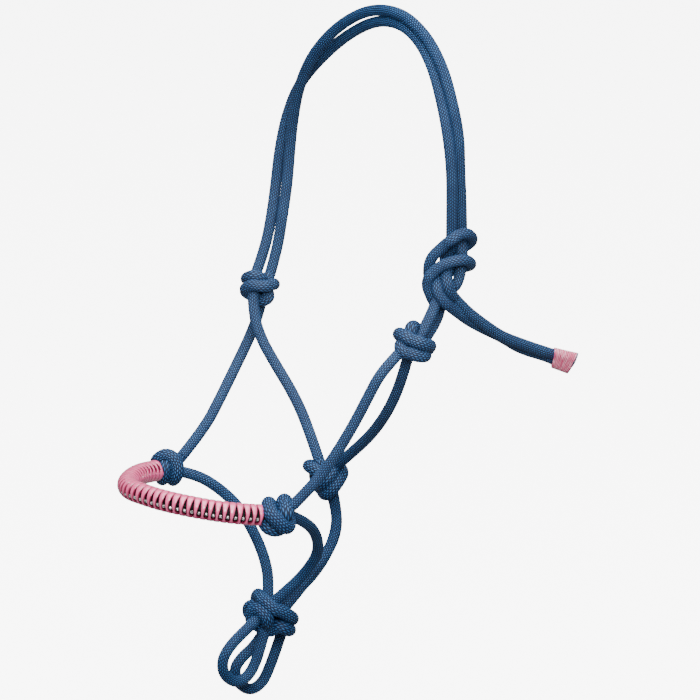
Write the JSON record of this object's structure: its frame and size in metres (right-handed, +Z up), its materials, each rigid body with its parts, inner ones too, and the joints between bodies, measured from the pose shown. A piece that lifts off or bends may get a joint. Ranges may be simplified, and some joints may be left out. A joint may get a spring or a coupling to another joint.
{
  "type": "rope halter",
  "caption": "Tied rope halter with a laced, stone-set noseband, a fiador chin knot with lead loops and a doubled crown tied at the left cheek.",
  "frame": {"origin": "under the crown ropes, where they rest on the horse's poll", "axes": "+Z up along the horse's head as worn, -X towards the nose, -Y the horse's left side, where the crown is tied"},
  "size_m": [0.3184, 0.2162, 0.5016],
  "materials": {
    "rope_blue": "matte",
    "lacing_pink": "satin",
    "whipping_pink": "satin",
    "setting_metal": "polished",
    "stone_clear": "polished",
    "melted_end": "satin"
  },
  "bodies": {
    "crown": {"crown_rope_upper": "rope_blue", "crown_rope_lower": "rope_blue", "tie_knot": "rope_blue", "eye_loop_front": "rope_blue", "eye_loop_rear": "rope_blue"},
    "cheeks": {"far_cheek_knot": "rope_blue", "near_cheek_knot": "rope_blue", "far_cheek_rope": "rope_blue", "near_cheek_rope": "rope_blue", "far_throat_rope": "rope_blue", "near_throat_rope": "rope_blue", "throat_knot": "rope_blue", "throat_chin_rope_front": "rope_blue", "throat_chin_rope_rear": "rope_blue", "far_nose_knot": "rope_blue", "near_nose_knot": "rope_blue", "far_chin_rope": "rope_blue", "near_chin_rope": "rope_blue", "chin_knot": "rope_blue"},
    "noseband": {"noseband_core": "rope_blue", "noseband_lacing": "lacing_pink", "stone_settings": "setting_metal", "noseband_stones": "stone_clear"},
    "lead_loops": {"lead_loop_front": "rope_blue", "lead_loop_rear": "rope_blue"},
    "tail": {"tail_rope_upper": "rope_blue", "tail_rope_lower": "rope_blue", "tail_whipping": "whipping_pink", "tail_end_cap": "melted_end"}
  },
  "joints": [
    {"name": "halter_swing", "type": "hinge", "parent": "crown", "child": "cheeks", "pos_m": [-0.038, 0, -0.209], "axis": [0, 1, 0], "range_deg": [-30, 30]},
    {"name": "noseband_swing", "type": "hinge", "parent": "cheeks", "child": "noseband", "pos_m": [-0.1375, 0, -0.323], "axis": [0, 1, 0], "range_deg": [-35, 35]},
    {"name": "lead_loop_swing", "type": "hinge", "parent": "cheeks", "child": "lead_loops", "pos_m": [-0.097, 0, -0.424], "axis": [0, 1, 0], "range_deg": [-40, 40]},
    {"name": "tail_swing", "type": "hinge", "parent": "crown", "child": "tail", "pos_m": [-0.003, -0.094, -0.185], "axis": [0, 1, 0], "range_deg": [-20, 30]}
  ]
}
